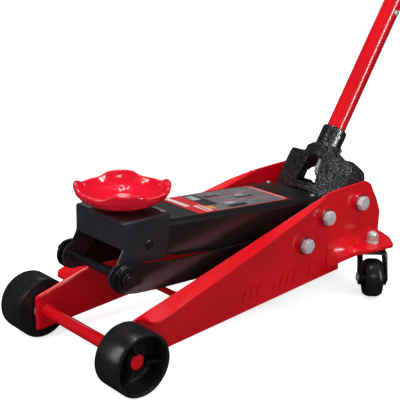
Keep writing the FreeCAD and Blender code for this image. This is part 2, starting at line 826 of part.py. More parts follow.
def head_pins():
    keep(fuse(
        bar(dim.pin_rad, -57.7, 57.7, dim.head_x, dim.head_z),
        bar(5.6, -59.5, 59.5, dim.head_x, dim.head_z),
    ), "head_upper_pin")
    keep(bar(dim.rod_rad, -77.0, 77.0, dim.rod_x, dim.rod_z), "head_cross_rod")
    keep(group(
        sleeves(11.5, dim.rod_rad + 0.03, 74.0, 75.6, dim.rod_x, dim.rod_z),
        sleeves(10.5, dim.rod_rad + 0.05, 57.55, 62.8, dim.rod_x, dim.rod_z),
    ), "head_retaining_rings")


LINK_SPAN = 343.5  # between the link's two pivots


def on_link(points):
    """(x, z) from distances along the link behind its front pivot and above it."""
    run = (dim.link_x.value - dim.rod_x.value) / LINK_SPAN
    rise = (dim.link_z.value - dim.rod_z.value) / LINK_SPAN
    return [
        (dim.rod_x + (run * along - rise * above), dim.rod_z + (rise * along + run * above))
        for along, above in points
    ]


def link(label, side):
    """Flat bar that keeps the head parallel, with a doubler at the front eye."""
    body = Body(label)
    outline = on_link([
        (0, -21.4), (20, -24.0), (60, -25.0), (290, -22.0), (LINK_SPAN, -19.0),
        (358, -12), (362, 0), (358, 12), (LINK_SPAN, 17.5), (290, 16.0), (95, 12.0),
        (40, 16), (0, 21.4),
    ])
    outer = dim.link_in + dim.link_thick
    low, high = band(side, dim.link_in, outer)
    body.pad("Y", low, high, outline)
    body.pad("Y", low, high, Disc(dim.rod_x, dim.rod_z, 21.5))
    rear_corners = outline[4:6] + outline[7:9]
    body.fillet([(x, (low + high) * 0.5, z) for x, z in rear_corners], 8.0)
    doubler = on_link([
        (-17, -11), (-10, -18), (0, -20.5), (26, -19), (26, 13), (8, 19), (-8, 18),
        (-17, 11),
    ])
    body.pad("Y", *band(side, outer - 0.5, outer + 4), doubler)
    low, high = band(side, dim.link_in - 2, dim.link_in + 20)
    # The front eye is bored 1 mm over its rod.
    body.cut("Y", low, high, Disc(dim.rod_x, dim.rod_z, dim.rod_rad + 1.0))
    body.cut("Y", low, high, Disc(dim.link_x, dim.link_z, dim.bolt_rad + dim.run_gap))
    body.keep()


# ----------------------------------------------------------------------- saddle
def saddle():
    """Cast dish on a stem, with four broad lugs that swell out of its rim."""
    body = Body("saddle")
    rim, rise, lug = dim.saddle_rim, dim.saddle_rise, dim.saddle_lug
    stem, floor = dim.stem_rad, dim.saddle_floor
    seat = dim.head_top + 0.05
    body.revolve([  # stem, underside, rim, dish
        (0, 205.4), (stem, 205.4), (stem, seat), (27.0, seat), (29.0, 216.0),
        (40.0, 219.0), (53.0, 225.0), (62.0, 231.5), (rim - 2.0, 236.5),
        (rim, rise - 1.2), (rim - 0.6, rise), (rim - 5.5, rise), (rim - 8.0, rise - 2.6),
        (52.0, 229.0), (40.0, floor + 0.5), (38.0, floor), (0, floor),
    ])
    lug_half = [  # (y, z)
        (32.0, 228.0), (36.0, rise - 1.0), (30.5, rise + 0.5), (26.5, rise + 2.2),
        (22.0, lug - 3.4), (18.0, lug - 1.5), (13.0, lug - 0.3), (5.0, lug),
    ]
    body.polar(body.pad("X", 50.0, 74.0, mirror_first(lug_half)), 4)
    # Trim the lugs on the inside, then on the outside.
    body.revolve([
        (42.0, 223.4), (54.0, 230.0), (59.5, 236.5), (62.6, rise + 1.0),
        (63.6, rise + 6.0), (65.0, 262.0), (42.0, 262.0),
    ], False)
    body.revolve([
        (58.0, 226.0), (62.3, 231.3), (rim - 1.7, 236.3), (rim + 0.1, rise - 1.1),
        (rim + 1.1, rise + 3.0), (rim + 1.0, lug - 2.0), (rim - 0.8, lug + 0.1),
        (rim - 0.8, 262.0), (90.0, 262.0), (90.0, 226.0),
    ], False)
    # Clip groove.
    body.revolve([
        (stem - 1.3, 206.3), (stem + 2, 206.3), (stem + 2, 208.1), (stem - 1.3, 208.1),
    ], False)
    body.keep((dim.saddle_x, 0, 0), Rotation(Vector(0, 0, 1), 55))


def saddle_clip():
    """Split ring in the stem groove, open towards +Y."""
    ring = tube(15.5, dim.stem_rad - 1.25, 1.6, (dim.saddle_x, 0, 206.4))
    gap = box(dim.saddle_x - 3, dim.saddle_x + 3, 9.0, 20.0, 205.0, 209.0)
    keep(cut(ring, gap), "saddle_clip")


# -------------------------------------------------------------- yoke and handle
# Yoke frame: pivot at the origin, handle along +Z, leaning to the rear.
LEAN = Rotation(Vector(0, 1, 0), dim.handle_lean.value)
YOKE_FRAME = ((dim.yoke_x, 0, dim.yoke_z), LEAN, dim.handle_lean)
axis_x = -dim.socket_off
tube_bore = dim.tube_rad - dim.tube_wall


def yoke_casting(body):
    """Outer form of the yoke below its socket."""
    half = dim.yoke_half
    # Plan (x, y): bowed front with rounded corners, square back.
    plan = [(-46.0, 11.0), (-44.2, 25.0), (-41.2, 38.0), (-37.6, 50.0)]
    plan += arc_points(-24.0, half - 12.0, 12.0, 170.0, 90.0, 5)
    plan += [(24.0, half)]
    body.pad("Z", -21.0, 76.0, mirror_second(plan))
    body.fillet([(24.0, half, 10.0), (24.0, -half, 10.0)], 4.0)
    # Front view (y, z): rounded lobes, shoulders sweeping up to the socket.
    above = [
        (half + 6.0, 100.0), (half + 6.0, 30.0), (half - 0.3, 39.0), (half - 1.4, 46.0),
        (half - 4.2, 52.5), (half - 8.5, 57.0), (half - 14.0, 59.8), (48.0, 61.0),
        (40.0, 61.6), (34.0, 62.6), (29.0, 64.4), (24.0, 67.2), (19.0, 70.2),
        (12.0, 72.0), (6.0, 72.5),
    ]
    body.cut("X", -70.0, 50.0, mirror_first(above))
    # Side views (x, z) from here on.  The shoulders slope down to the front.
    slope = [
        (-60.0, 48.0), (-46.0, 51.5), (-36.0, 54.5), (-14.0, 61.0), (-10.0, 64.0),
        (-10.0, 80.0), (-60.0, 80.0),
    ]
    for side in (1, -1):
        body.cut("Y", *band(side, 30.0, 90.0), slope)
    # Rounded underside at the rear, underside at the front, sloping back.
    under_rear = arc_points(0, 0, 18.0, 8.0, -90.0, 8)
    under_rear += [(0.0, -40.0), (40.0, -40.0), (40.0, 2.5)]
    under_front = [
        (-60.0, -16.0), (-60.0, -40.0), (-4.0, -40.0), (-4.0, -17.9), (-20.0, -18.6),
        (-33.0, -20.9), (-41.0, -20.0), (-44.5, -16.0),
    ]
    back = [
        (25.0, 42.0), (22.0, 47.5), (14.0, 54.5), (4.0, 59.0), (-5.0, 63.0),
        (-7.0, 80.0), (50.0, 80.0), (50.0, 42.0),
    ]
    for outline in (under_rear, under_front, back):
        body.cut("Y", -90.0, 90.0, outline)
    # Step on the outer face of each cheek, around its rounded lobe.
    step = [
        (-34.0, 62.0), (-33.0, 53.0), (-27.0, 49.5), (-19.0, 45.0), (-12.5, 39.0),
        (-9.0, 32.0), (-8.6, 25.0), (-4.0, 21.5), (6.0, 20.8), (15.0, 18.6),
        (24.5, 13.0), (40.0, 13.0), (40.0, 62.0),
    ]
    for side in (1, -1):
        body.cut("Y", *band(side, half - 6.0, half + 6.0), step)


def handle_yoke():
    """Cast yoke with a socket for the handle, in the yoke frame."""
    body = Body("handle_yoke")
    yoke_casting(body)
    # Hollow between the cheeks, recess ahead of it, window in the front; (y, z).
    hollow = [
        (58.0, -45.0), (58.0, 34.0), (52.0, 42.0), (40.0, 47.0), (24.0, 50.0),
    ]
    recess = [(26.0, -45.0), (26.0, 38.0), (20.0, 46.0)]
    window = [(21.5, -2.0), (18.5, 20.0), (15.5, 41.0), (11.5, 46.0)]
    body.cut("X", -33.5, 40.0, mirror_first(hollow))
    body.cut("X", -39.5, -33.0, mirror_first(recess))
    body.cut("X", -60.0, -20.0, mirror_first(window))
    # Socket, with a round pad for the retaining bolt.
    body.pad("Z", 50.0, dim.socket_top, Disc(axis_x, 0.0, dim.socket_rad))
    body.pad("X", -10.0, 2.0, Disc(0.0, dim.retainer_at, 9.0))
    body.fillet([(axis_x, dim.socket_rad, dim.socket_top)], 1.5)
    socket_bore = Disc(axis_x, 0.0, dim.tube_rad + dim.run_gap)
    body.cut("Z", 53.0, dim.socket_top + 10, socket_bore)
    body.cut("Z", 40.0, 60.0, Disc(axis_x, 0.0, 7.0))
    body.cut("X", -15.0, 10.0, Disc(0.0, dim.retainer_at, 4.05))
    roller_hole = Disc(dim.roller_x, dim.roller_z, 4.03)
    body.cut("Y", -90.0, 90.0, Disc(0.0, 0.0, 10.0), roller_hole)
    body.keep(*YOKE_FRAME)


def yoke_fittings():
    bushes = sleeves(9.97, dim.bolt_rad + dim.run_gap, 58.2, 71.9, 0.0, 0.0)
    keep(bushes, "yoke_bushes", *YOKE_FRAME)
    roller_pin = bar(4.0, -71.5, 71.5, dim.roller_x, dim.roller_z)
    keep(roller_pin, "roller_pin", *YOKE_FRAME)
    low, high = dim.plunger_y - 8, dim.plunger_y + 8
    roller = sleeve(7.0, 4.05, low, high, dim.roller_x, dim.roller_z)
    keep(roller, "pump_roller", *YOKE_FRAME)
    retainer = fuse(
        hex_head(13.0, 15.5, 6.4, 6.5, (2.05, 0, dim.retainer_at), "X"),
        cyl(4.0, 14.55, (-10.5, 0, dim.retainer_at), "X"),
    )
    keep(retainer, "handle_retaining_bolt", *YOKE_FRAME)


def on_handle(z):
    """Point on the handle axis, in the yoke frame."""
    return (axis_x, 0, z)


def button_hole():
    return bar(5.1, -20.0, -8.0, axis_x, dim.button_at)


def handle_lower_tube():
    rad, joint = dim.tube_rad, dim.joint_at
    lower = tube(rad, tube_bore, joint - 56, on_handle(56.0))
    # Groove for the tip of the retaining bolt.
    lower = cut(lower, tube(rad + 2, rad - 1.2, 9.0, on_handle(74.5)))
    # Ring at the foot that guides the valve shaft.
    lower = fuse(lower, tube(tube_bore + 0.5, 5.05, 4.0, on_handle(57.0)))
    keep(cut(lower, button_hole()), "handle_lower_tube", *YOKE_FRAME)


def handle_upper_tube():
    """Upper tube with a collar at the joint and a spigot below it."""
    rad, joint = dim.tube_rad, dim.joint_at
    spigot_bore = tube_bore - 2.5
    upper = fuse(
        tube(rad, spigot_bore, 6.0, on_handle(joint + 0.2)),
        tube(rad, tube_bore, dim.handle_top - joint - 5.5, on_handle(joint + 5.5)),
        tube(tube_bore - 0.1, spigot_bore, 80.0, on_handle(joint - 75)),
    )
    keep(cut(upper, button_hole()), "handle_upper_tube", *YOKE_FRAME)


def handle_fittings():
    valve_shaft = fuse(cyl(5.0, 34.0, on_handle(30.0)), cyl(8.0, 4.0, on_handle(61.05)))
    keep(valve_shaft, "handle_valve_shaft", *YOKE_FRAME)
    button = fuse(
        bar(5.0, -18.6, -9.6, axis_x, dim.button_at),
        bar(4.2, -19.4, -18.4, axis_x, dim.button_at),
    )
    keep(button, "handle_button", *YOKE_FRAME)
    cap = fuse(
        cyl(tube_bore - 0.05, 14.0, on_handle(dim.handle_top - 13)),
        cyl(dim.grip_rad - 1, 3.0, on_handle(dim.handle_top + 0.1)),
    )
    keep(cap, "handle_end_cap", *YOKE_FRAME)


def handle_grip():
    """Grip with grooves round it and a bead at its top end."""
    body = Body("handle_grip")
    rad, start, end = dim.grip_rad, dim.grip_from, dim.handle_top
    bore = dim.tube_rad + 0.02
    outline = [(bore, start), (18.5, start), (rad, start + 3)]
    for z in range(12, 130, 10):
        outline += [
            (rad, start + z), (rad - 1.3, start + (z + 1.2)),
            (rad - 1.3, start + (z + 3.2)), (rad, start + (z + 4.4)),
        ]
    outline += [
        (rad, end - 12), (rad + 1.6, end - 9), (rad + 1.6, end - 4), (rad, end - 1.5),
        (bore, end - 1.5),
    ]
    body.revolve(outline)
    # The grip turns about its own Z, so its frame stands on the handle axis.
    lean = math.radians(dim.handle_lean.value)
    x = dim.yoke_x - dim.socket_off * math.cos(lean)
    z = dim.yoke_z + dim.socket_off * math.sin(lean)
    body.keep((x, 0, z), LEAN, dim.handle_lean)


# ---------------------------------------------------------------------- casters
# Caster frame: stem along Z at the origin, wheel trailing towards +X.
def caster_frame(side):
    turn = Rotation(Vector(0, 0, 1), dim.caster_turn.value * side)
    return (dim.caster_x, dim.caster_y * side, 0), turn


def caster_fork(name, side):
    body = Body("caster_fork_" + name)
    half, top = dim.fork_half, 79.0
    cheek = [  # (x, z)
        (-15.0, top), (24.0, top), (33.0, 60.0), (34.0, 30.0), (28.0, 20.5),
        (17.0, 20.5), (11.0, 30.0), (3.0, 54.0), (-15.0, 73.0),
    ]
    body.pad("Y", -half, half, cheek)
    body.fillet([(24.0, 0, top), (28.0, 0, 20.5), (17.0, 0, 20.5)], 4.0)
    body.fillet([(4.0, half, top), (4.0, -half, top)], 5.0)
    inner = half - dim.fork_sheet
    body.cut("Y", -inner, inner, [(-20.0, 74.5), (50.0, 74.5), (50.0, 0.0), (-20.0, 0.0)])
    body.cut("Z", 70.0, 90.0, Disc(0.0, 0.0, dim.caster_stem + dim.run_gap))
    body.cut("Y", -40.0, 40.0, Disc(dim.caster_trail, dim.caster_rad, 4.02))
    body.keep(*caster_frame(side))


def caster_wheel(name, side):
    """Turned wheel, its own axis along local Z."""
    body = Body("caster_wheel_" + name)
    rad, half = dim.caster_rad, dim.caster_half
    body.revolve(mirror_second([
        (4.06, -17.0), (8.5, -17.0), (9.0, -12.5), (rad - 9, -11.5), (rad - 7, -half),
        (rad - 4, -half), (rad - 0.8, -half + 5), (rad, -5.0),
    ]))
    (x, y, _), turn = caster_frame(side)
    angle = math.radians(dim.caster_turn.value)
    x = x + dim.caster_trail * math.cos(angle)
    y = y + dim.caster_trail * (math.sin(angle) * side)
    body.keep((x, y, rad), turn.multiply(DIRECTION["-Y"]))


def caster_axle(name, side):
    """Axle with a round head outside each fork cheek."""
    half = dim.fork_half
    spans = [
        (4.0, -half - 3.5, half + 3.5),
        (6.4, *band(-1, half + 0.05, half + 3.05)),
        (6.4, *band(1, half + 0.05, half + 3.05)),
    ]
    axle = fuse(*[bar(*span, dim.caster_trail, dim.caster_rad) for span in spans])
    keep(axle, "caster_axle_" + name, *caster_frame(side))


def on_stem(side, z):
    return (dim.caster_x, dim.caster_y * side, z)


def caster_stem(side):
    return fuse(cyl(dim.caster_stem, 27.0, on_stem(side, 73.0)), cyl(10.0, 5.0, on_stem(side, 69.3)))


def caster_nut(side):
    """Domed nut on a flange, bored from below."""
    top = dim.ear_top
    dome = [  # lower radius, upper radius, height, base above the ear
        (8.1, 7.0, 2.4, 14.9),
        (7.0, 4.3, 1.9, 17.3),
        (4.3, 1.4, 0.7, 19.2),
    ]
    nut = fuse(
        cyl(11.0, 2.2, on_stem(side, top + 0.01)),
        hex_head(17.0, 21.9, 8.9, 13.0, on_stem(side, top + 2)),
        *[cone(low, up, high, on_stem(side, top + base)) for low, up, high, base in dome],
    )
    return cut(nut, cyl(dim.caster_stem + dim.run_gap, 15.2, on_stem(side, 85.0)))


def caster_bearing(side):
    return tube(19.0, 6.2, dim.ear_under - 79.15, on_stem(side, 79.1))


def casters():
    for name, side in (("left", -1), ("right", 1)):
        caster_fork(name, side)
        caster_wheel(name, side)
        caster_axle(name, side)
    keep(both(caster_stem), "caster_stems")
    keep(both(caster_nut), "caster_nuts")
    keep(both(caster_bearing), "caster_bearings")


# ------------------------------------------------------------------- hydraulics
def on_ram(x):
    return (x, 0, dim.ram_z)


def pump_block():
    half, top = dim.block_half, dim.block_top
    front, rear = dim.block_front, dim.block_rear
    block = fuse(
        box(front, rear, -half, half, dim.block_base, top),
        box(front + 6, rear - 4, 28 - half, half - 28, top - 1, top + 4),
    )
    plunger_bore = dim.plunger_rad + dim.run_gap
    block = cut(
        block,
        cyl(dim.barrel_rad + 0.03, 63.0, on_ram(front - 1), "X"),
        cyl(plunger_bore, 60.0, (dim.plunger_x, dim.plunger_y, 84.0)),
        cyl(6.03, 20.0, (dim.valve_x, 0, top - 1.8)),
        cyl(6.05, 20.0, (rear - 5, 0, dim.filler_z), "X"),
        cyl(5.05, 20.0, (dim.overload_x, dim.overload_y, top - 10)),
    )
    # Recess in each side.
    for side in (-1, 1):
        low, high = band(side, half - 10, half + 1)
        block = cut(block, box(front + 14, rear - 14, low, high, 58.0, 84.0))
    keep(block, "pump_block")


def power_unit_mounts():
    """Bars that fill the gaps between the pump block and the side plates."""
    near, far = dim.block_half + 0.02, dim.plate_in - 0.02
    mounts = both(lambda side: box(508.0, 560.0, *band(side, near, far), 97.0, 110.0))
    keep(mounts, "power_unit_mounts")


def ram():
    barrel = cut(
        cyl(dim.barrel_rad, 88.0, on_ram(474.0), "X"),
        cyl(dim.ram_bore + dim.run_gap, 86.0, on_ram(473.0), "X"),
        cyl(24.55, 10.0, on_ram(473.0), "X"),
    )
    keep(barrel, "ram_barrel")
    gland = fuse(cyl(24.5, 9.4, on_ram(473.5), "X"), hexagon(50.0, 3.8, on_ram(470.2), "X"))
    gland = cut(gland, cyl(dim.ram_rod_rad + dim.run_gap, 20.0, on_ram(465.0), "X"))
    keep(gland, "ram_gland_nut")
    # Rod with a pierced block at its front end and a grooved piston.
    rod = fuse(
        box(420.0, 452.0, -21.5, 21.5, 72.0, 111.0),
        cyl(dim.ram_rod_rad, 78.0, on_ram(451.0), "X"),
    )
    rod = cut(rod, box(426.6, 444.6, -22.5, 22.5, 79.0, 104.0))
    rod = fuse(rod, cyl(dim.ram_bore, 13.0, on_ram(528.0), "X"))
    rod = cut(rod, tube(dim.ram_bore + 2, dim.ram_bore - 3, 5.0, on_ram(532.0), "X"))
    keep(rod, "ram_rod")
    seal = tube(dim.ram_bore, dim.ram_bore - 2.95, 4.9, on_ram(532.05), "X")
    keep(seal, "ram_seal")


def pump():
    def at(z):
        return (dim.plunger_x, dim.plunger_y, z)

    rad, top = dim.plunger_rad, dim.block_top
    plunger = fuse(cyl(rad, 50.0, at(100.0)), cyl(11.0, 5.0, at(dim.plunger_top - 5)))
    keep(plunger, "pump_plunger")
    gland = hexagon(26.0, 7.0, at(top + 0.02))
    keep(cut(gland, cyl(rad + dim.run_gap, 20.0, at(top - 2))), "pump_gland")


def coil(label, radius, wire, length, turns, bases, axis):
    """Coil springs: eight-sided wire of the given radius swept along a helix."""
    helix = Part.makeLongHelix(length / turns, length, radius)
    corner = wire * 1.04
    points = []
    for k in range(9):
        a = math.pi * (k + 0.5) / 4
        points.append(Vector(radius + corner * math.cos(a), 0, corner * math.sin(a)))
    spring = Part.Wire(helix.Edges).makePipeShell([Part.makePolygon(points)], True, True)
    copies = []
    for base in bases:
        copy = spring.copy()
        copy.Placement = Placement(Vector(*base), DIRECTION[axis])
        copies.append(copy)
    obj = doc.addObject("Part::Feature", label)
    obj.Shape = Part.makeCompound(copies)
    keep(obj, label)


def springs():
    end_gap = 1.1  # wire centre from the faces the pump spring bears on
    low = dim.block_top.value + 7.02 + end_gap
    high = dim.plunger_top.value - 5.0 - end_gap
    coil(
        "pump_spring", radius=9.6, wire=0.95, length=high - low, turns=4.0,
        bases=[(dim.plunger_x.value, dim.plunger_y.value, low)], axis="Z",
    )
    coil(
        "return_springs", radius=4.4, wire=1.25, length=52.0, turns=9.0,
        bases=[(446.0, y, 91.5) for y in (-40.6, 40.6)], axis="X",
    )


def release_valve():
    def at(z):
        return (dim.valve_x, 0, z)

    top = dim.block_top
    gland = fuse(
        cyl(6.0, 3.0, at(top - 1.7)),
        hexagon(17.0, 4.0, at(top + 4.02)),
        cyl(6.0, 6.0, at(top + 1)),
    )
    keep(cut(gland, cyl(4.05, 30.0, at(top - 5))), "release_valve_gland")
    spindle = fuse(cyl(4.0, 25.5, at(top - 1.5)), cyl(6.5, 8.0, at(141.5)))
    slot = box(dim.valve_x - 8, dim.valve_x + 8, -2.0, 2.0, 144.0, 151.0)
    keep(cut(spindle, slot), "release_valve_spindle")


def block_plugs():
    filler = fuse(
        cyl(6.0, 6.0, (dim.block_rear - 4.9, 0, dim.filler_z), "X"),
        cyl(9.0, 4.0, (dim.block_rear + 0.02, 0, dim.filler_z), "X"),
    )
    keep(filler, "oil_filler_plug")
    x, y, top = dim.overload_x, dim.overload_y, dim.block_top
    overload = fuse(cyl(5.0, 10.0, (x, y, top - 9.9)), hexagon(14.0, 5.0, (x, y, top + 0.02)))
    keep(overload, "overload_valve_plug")


# ------------------------------------------------------------- build and export
side_plate("side_plate_left", -1)
side_plate("side_plate_right", 1)
front_axle()
front_wheel("front_wheel_left", -1, rib_angle=-12)
front_wheel("front_wheel_right", 1, rib_angle=40)
cross_brace()
pivot_fasteners()
arm_pivot_shaft()
lift_arm()
arm_label()
arm_pins()
saddle_head()
head_pins()
link("link_left", -1)
link("link_right", 1)
saddle()
saddle_clip()
handle_yoke()
yoke_fittings()
handle_lower_tube()
handle_upper_tube()
handle_fittings()
handle_grip()
casters()
pump_block()
power_unit_mounts()
ram()
pump()
springs()
release_valve()
block_plugs()

doc.recompute()
for obj in doc.Objects:
    if "Invalid" in obj.State or "Error" in obj.State:
        raise RuntimeError("%s (%s) failed: %s" % (obj.Label, obj.Name, obj.State))
for piece in pieces:
    if piece.Shape.isNull() or not piece.Shape.isValid() or not piece.Shape.Solids:
        raise RuntimeError("%s has no valid solid" % piece.Label)

os.makedirs("parts", exist_ok=True)
for piece in pieces:
    piece.Shape.exportStep("parts/%s.step" % piece.Label)
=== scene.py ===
"""Garage trolley jack: finishes, sprung and jointed pieces, and a white studio.

The jack stands on z = 0 with its front wheels toward -X, its handle toward +X
and its width along Y.
"""
import bpy, bmesh
import math
from mathutils import Vector, Matrix


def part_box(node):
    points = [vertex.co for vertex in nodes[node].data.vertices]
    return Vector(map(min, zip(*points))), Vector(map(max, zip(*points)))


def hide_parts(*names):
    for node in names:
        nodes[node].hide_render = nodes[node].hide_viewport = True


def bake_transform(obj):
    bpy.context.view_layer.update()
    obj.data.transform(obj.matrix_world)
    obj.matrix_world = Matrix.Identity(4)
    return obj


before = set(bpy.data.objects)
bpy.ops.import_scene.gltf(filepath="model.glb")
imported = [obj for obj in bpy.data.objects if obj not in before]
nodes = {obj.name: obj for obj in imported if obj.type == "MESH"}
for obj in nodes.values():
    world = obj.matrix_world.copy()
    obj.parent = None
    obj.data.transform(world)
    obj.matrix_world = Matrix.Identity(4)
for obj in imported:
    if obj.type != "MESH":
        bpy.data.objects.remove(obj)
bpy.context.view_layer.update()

MM = 0.001
AXLE_TO_ORIGIN = 0.503735  # front axle to the origin of the row frame, along X
X, Y, Z = Vector((1, 0, 0)), Vector((0, 1, 0)), Vector((0, 0, 1))


def place(x, y, z):
    """Millimetres, x from the front axle and z from the floor, to the row frame."""
    return Vector((x / 1000.0 - AXLE_TO_ORIGIN, y / 1000.0, z / 1000.0))


def add_object(name, data):
    obj = bpy.data.objects.new(name, data)
    bpy.context.scene.collection.objects.link(obj)
    return obj


# ---------------------------------------------------------------- node graphs
class Graph:
    """A material with a principled shader, and short calls that add nodes to it."""

    def __init__(self, name):
        self.material = bpy.data.materials.new(name)
        self.material.use_nodes = True
        self.tree = self.material.node_tree
        self.tree.nodes.clear()
        output = self.node("ShaderNodeOutputMaterial")
        self.shader = self.node("ShaderNodeBsdfPrincipled")
        self.link(self.shader.outputs["BSDF"], output.inputs["Surface"])
        self.coords = self.node("ShaderNodeTexCoord").outputs["Object"]

    def node(self, kind, **settings):
        node = self.tree.nodes.new(kind)
        for key, value in settings.items():
            setattr(node, key, value)
        return node

    def link(self, source, socket):
        self.tree.links.new(source, socket)

    def put(self, socket, value):
        """Link a socket, or set its value; a colour gets its alpha."""
        if hasattr(value, "links"):
            self.link(value, socket)
        elif isinstance(value, tuple) and len(value) == 3 and socket.type == "RGBA":
            socket.default_value = (*value, 1.0)
        else:
            socket.default_value = value

    def noise(self, scale, detail=3.0, rough=0.5, dist=0.0, vec=None):
        node = self.node("ShaderNodeTexNoise")
        self.link(vec or self.coords, node.inputs["Vector"])
        node.inputs["Scale"].default_value = scale
        node.inputs["Detail"].default_value = detail
        node.inputs["Roughness"].default_value = rough
        node.inputs["Distortion"].default_value = dist
        return node.outputs["Fac"]

    def math(self, operation, a, b=0.0):
        node = self.node("ShaderNodeMath", operation=operation)
        for socket, value in zip(node.inputs, (a, b, 0.0)):
            self.put(socket, value)
        return node.outputs[0]

    def mul(self, a, b):
        return self.math("MULTIPLY", a, b)

    def ramp(self, fac, start, end, low=0.0, high=1.0, kind="SMOOTHSTEP"):
        """Map start..end of the input to low..high."""
        node = self.node("ShaderNodeMapRange", interpolation_type=kind)
        for i, value in enumerate((fac, start, end, low, high)):
            self.put(node.inputs[i], value)
        return node.outputs[0]

    def patches(self, start, end, **noise):
        """Noise cut to patches: 0 below start, 1 above end."""
        return self.ramp(self.noise(**noise), start, end)

    def mix(self, fac, a, b):
        node = self.node("ShaderNodeMix", data_type="RGBA", blend_type="MIX")
        # Inputs 6 and 7 and output 2 are the colour sockets.
        for i, value in ((0, fac), (6, a), (7, b)):
            self.put(node.inputs[i], value)
        return node.outputs[2]

    def stretch(self, scale):
        node = self.node("ShaderNodeMapping")
        self.link(self.coords, node.inputs[0])
        node.inputs["Scale"].default_value = scale
        return node.outputs[0]

    def split(self):
        node = self.node("ShaderNodeSeparateXYZ")
        self.link(self.coords, node.inputs[0])
        return node.outputs

    def round_edge(self, radius):
        node = self.node("ShaderNodeBevel", samples=6)
        node.inputs["Radius"].default_value = radius
        return node.outputs[0]

    def edge_mask(self, radius):
        """Mask, 1 on edges and corners and 0 on flats, and the rounded normal."""
        rounded = self.round_edge(radius)
        flat = self.node("ShaderNodeNewGeometry").outputs["Normal"]
        dot = self.node("ShaderNodeVectorMath", operation="DOT_PRODUCT")
        self.link(rounded, dot.inputs[0])
        self.link(flat, dot.inputs[1])
        turn = self.math("SUBTRACT", 1.0, dot.outputs["Value"])
        return self.ramp(turn, start=0.02, end=0.25), rounded

    def bump(self, height, strength, distance, normal=None):
        node = self.node("ShaderNodeBump")
        node.inputs["Strength"].default_value = strength
        node.inputs["Distance"].default_value = distance
        self.link(height, node.inputs["Height"])
        if normal is not None:
            self.link(normal, node.inputs["Normal"])
        return node.outputs[0]

    def set(self, **inputs):
        """Set the shader's inputs, with _ for each space in a name."""
        for key, value in inputs.items():
            self.put(self.shader.inputs[key.replace("_", " ")], value)
        return self.material


# ------------------------------------------------------------------ materials
def enamel(name, base, deep, coat, wear, dusty, rough=0.22, peel=0.05, edge=0.0012,
           chip=(0.25, 0.24, 0.23)):
    """Sprayed gloss enamel: orange peel, light dust, paint worn to chip on the edges."""
    g = Graph(name)
    col = g.mix(g.patches(scale=7.0, detail=2.0, start=0.35, end=0.7), base, deep)
    mask, rounded = g.edge_mask(edge)
    dust = g.patches(scale=38.0, detail=6.0, rough=0.7, start=0.50, end=0.78)
    col = g.mix(g.mul(dust, dusty), col, (0.45, 0.42, 0.40))
    rub = g.mul(mask, g.patches(scale=120.0, detail=5.0, rough=0.7, start=0.56, end=0.62))
    col = g.mix(g.mul(rub, wear), col, chip)
    swing = 0.14  # range of roughness over the surface
    uneven = g.mul(g.noise(scale=60.0, detail=5.0, rough=0.6), swing)
    peeled = g.bump(g.noise(scale=260.0, detail=2.0), strength=peel, distance=0.0006,
                    normal=rounded)
    grain = g.bump(g.noise(scale=420.0, detail=4.0, rough=0.65), strength=peel * 0.5,
                   distance=0.0002, normal=peeled)
    return g.set(Base_Color=col, Roughness=g.math("ADD", uneven, rough - swing / 2),
                 Normal=grain, Specular_IOR_Level=0.35, Coat_Weight=coat,
                 Coat_Roughness=0.05, Coat_Normal=peeled)


def hammered(name, base):
    """Hammer-finish paint over rough casting: dark ground, with fine pale flecks that are
    painted highlights.
    """
    g = Graph(name)
    rounded = g.round_edge(0.0015)
    x, y, z = g.split()
    # Distance along the handle from the yoke pivot: the socket is smoother.
    pivot = place(509.0, 0, 157.6)
    handle_x, handle_z = 0.5486, 0.8361  # unit direction of the handle
    along = g.math("ADD", g.mul(g.math("SUBTRACT", x, pivot.x), handle_x),
                   g.mul(g.math("SUBTRACT", z, pivot.z), handle_z))
    casting = g.ramp(along, start=0.060, end=0.078, low=1.0, high=0.10)
    cell = g.node("ShaderNodeTexVoronoi", feature="SMOOTH_F1")
    g.link(g.coords, cell.inputs["Vector"])
    cell.inputs["Scale"].default_value = 560.0
    dimple = g.ramp(cell.outputs["Distance"], start=0.05, end=0.55)
    lump = g.noise(scale=260.0, detail=4.0, rough=0.65)
    height = g.mul(casting, g.math("ADD", dimple, g.mul(lump, 0.9)))
    skin = g.bump(height, strength=1.0, distance=0.0012, normal=rounded)
    # Painted highlight flecks: pale specks, strongest on the lit -Y side and fading out
    # towards +Y.
    painted_glint = g.patches(scale=560.0, detail=2.0, rough=0.7, start=0.60, end=0.635)
    glint_patchiness = g.patches(scale=55.0, detail=3.0, rough=0.6, start=0.35, end=0.65)
    # Painted highlight fade: full on the lit -Y side, nearly none on the shaded +Y side.
    side = g.ramp(y, start=0.0, end=-0.030, low=0.06, high=1.0)
    glint_amount = g.mul(g.mul(painted_glint, side), g.math("ADD", 0.30, g.mul(glint_patchiness, 0.55)))
    # Pale painted highlight specks mixed over the dark ground, fewer on the socket.
    col = g.mix(g.mul(glint_amount, casting), base, (0.62, 0.62, 0.68))
    return g.set(
        Base_Color=col, Normal=skin, Coat_Normal=skin, Coat_Roughness=0.10,
        Roughness=g.ramp(lump, start=0.3, end=0.7, low=0.18, high=0.38),
        Specular_IOR_Level=g.ramp(casting, start=0.2, end=0.9, low=0.8, high=0.35),
        Coat_Weight=g.ramp(casting, start=0.2, end=0.9, low=1.0, high=0.30))


